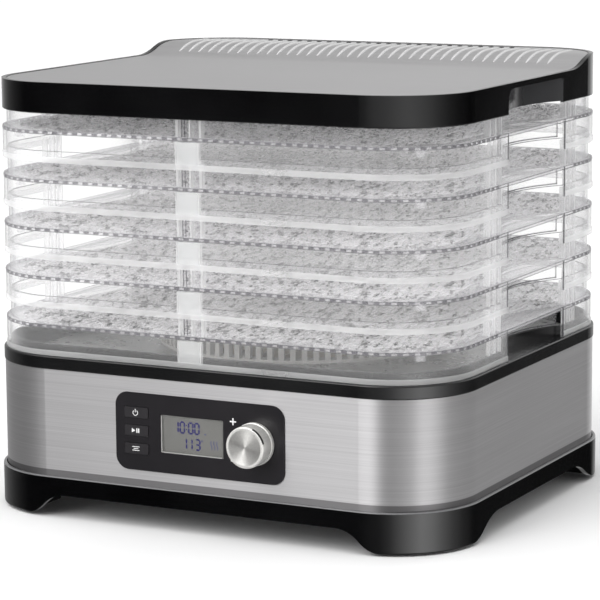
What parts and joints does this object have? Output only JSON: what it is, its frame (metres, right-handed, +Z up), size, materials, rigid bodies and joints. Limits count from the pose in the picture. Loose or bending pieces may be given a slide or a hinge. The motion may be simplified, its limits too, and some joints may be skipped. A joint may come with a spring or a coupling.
{
  "type": "food dehydrator",
  "caption": "Worktop food dehydrator: steel-clad fan base with a control panel, stacking clear mesh-floored trays and a vented lid.",
  "frame": {"origin": "on the floor under the centre of the whole outline, control knob included", "axes": "+Z up, -Y is the front with the control panel, +X is the right side seen from the front"},
  "size_m": [0.308, 0.287, 0.2636],
  "materials": {
    "gloss_black": "high-gloss moulded",
    "satin_black": "satin moulded",
    "feet_rubber": "soft matte",
    "brushed_steel": "horizontal brush lines",
    "clear_tray": "clear moulded",
    "outlet_grey": "light grey moulded",
    "knob_metal": "spun face",
    "panel_black": "satin gloss",
    "button_black": "satin",
    "lcd_glass": "clear window",
    "lcd_screen": "grey liquid-crystal panel",
    "board_green": "solder mask",
    "component_dark": "moulded components",
    "screw_steel": "plated",
    "motor_steel": "zinc-plated can",
    "duct_sheet": "galvanised sheet",
    "heater_wire": "oxidised sheath",
    "mica": "mica board",
    "fan_plastic": "moulded fan",
    "shaft_steel": "ground"
  },
  "bodies": {
    "base": {"foot_frame": "gloss_black", "rubber_feet": "feet_rubber", "bottom_plate": "satin_black", "bottom_screws": "screw_steel", "steel_band": "brushed_steel", "base_rim": "gloss_black", "deck_plate": "brushed_steel", "air_outlet_grille": "outlet_grey", "motor_mount": "duct_sheet", "fan_motor": "motor_steel", "motor_screws": "screw_steel", "air_duct": "duct_sheet", "heating_coil": "heater_wire", "heater_frame": "mica", "thermostat": "motor_steel", "thermal_fuse": "component_dark", "power_board": "board_green", "power_board_parts": "component_dark", "cord_gland": "satin_black", "control_panel": "panel_black", "tact_switches": "component_dark", "lcd_window": "lcd_glass", "lcd_module": "lcd_screen", "control_pcb": "board_green", "panel_screws": "screw_steel", "encoder_body": "motor_steel"},
    "power_key": {"power_button": "button_black"},
    "start_key": {"start_button": "button_black"},
    "set_key": {"set_button": "button_black"},
    "knob": {"control_knob": "knob_metal", "encoder_shaft": "shaft_steel"},
    "fan": {"fan_impeller": "fan_plastic", "motor_shaft": "shaft_steel", "fan_nut": "screw_steel"},
    "tray_body_1": {"tray_1": "clear_tray", "tray_1_mesh": "clear_tray"},
    "tray_body_2": {"tray_2": "clear_tray", "tray_2_mesh": "clear_tray"},
    "tray_body_3": {"tray_3": "clear_tray", "tray_3_mesh": "clear_tray"},
    "tray_body_4": {"tray_4": "clear_tray", "tray_4_mesh": "clear_tray"},
    "tray_body_5": {"tray_5": "clear_tray", "tray_5_mesh": "clear_tray"},
    "lid": {"lid_rim": "gloss_black", "lid_plate": "brushed_steel", "lid_liner": "satin_black", "lid_screws": "screw_steel"}
  },
  "joints": [
    {"name": "lift_tray_1", "type": "slide", "parent": "base", "child": "tray_body_1", "axis": [0, 0, 1], "range_m": [0, 0.06]},
    {"name": "lift_tray_2", "type": "slide", "parent": "tray_body_1", "child": "tray_body_2", "axis": [0, 0, 1], "range_m": [0, 0.06]},
    {"name": "lift_tray_3", "type": "slide", "parent": "tray_body_2", "child": "tray_body_3", "axis": [0, 0, 1], "range_m": [0, 0.06]},
    {"name": "lift_tray_4", "type": "slide", "parent": "tray_body_3", "child": "tray_body_4", "axis": [0, 0, 1], "range_m": [0, 0.06]},
    {"name": "lift_tray_5", "type": "slide", "parent": "tray_body_4", "child": "tray_body_5", "axis": [0, 0, 1], "range_m": [0, 0.06]},
    {"name": "lift_lid", "type": "slide", "parent": "tray_body_5", "child": "lid", "axis": [0, 0, 1], "range_m": [0, 0.06]},
    {"name": "press_power", "type": "slide", "parent": "base", "child": "power_key", "axis": [0, 1, 0], "range_m": [0, 0.001], "stiffness_N_per_m": 1500, "springref_m": -0.0002},
    {"name": "press_start", "type": "slide", "parent": "base", "child": "start_key", "axis": [0, 1, 0], "range_m": [0, 0.001], "stiffness_N_per_m": 1500, "springref_m": -0.0002},
    {"name": "press_set", "type": "slide", "parent": "base", "child": "set_key", "axis": [0, 1, 0], "range_m": [0, 0.001], "stiffness_N_per_m": 1500, "springref_m": -0.0002},
    {"name": "turn_knob", "type": "hinge", "parent": "base", "child": "knob", "pos_m": [0.0375, -0.1306, 0.057], "axis": [0, -1, 0], "continuous": true},
    {"name": "spin_fan", "type": "hinge", "parent": "base", "child": "fan", "pos_m": [0, 0.0055, 0.059], "axis": [0, 0, 1], "continuous": true}
  ]
}
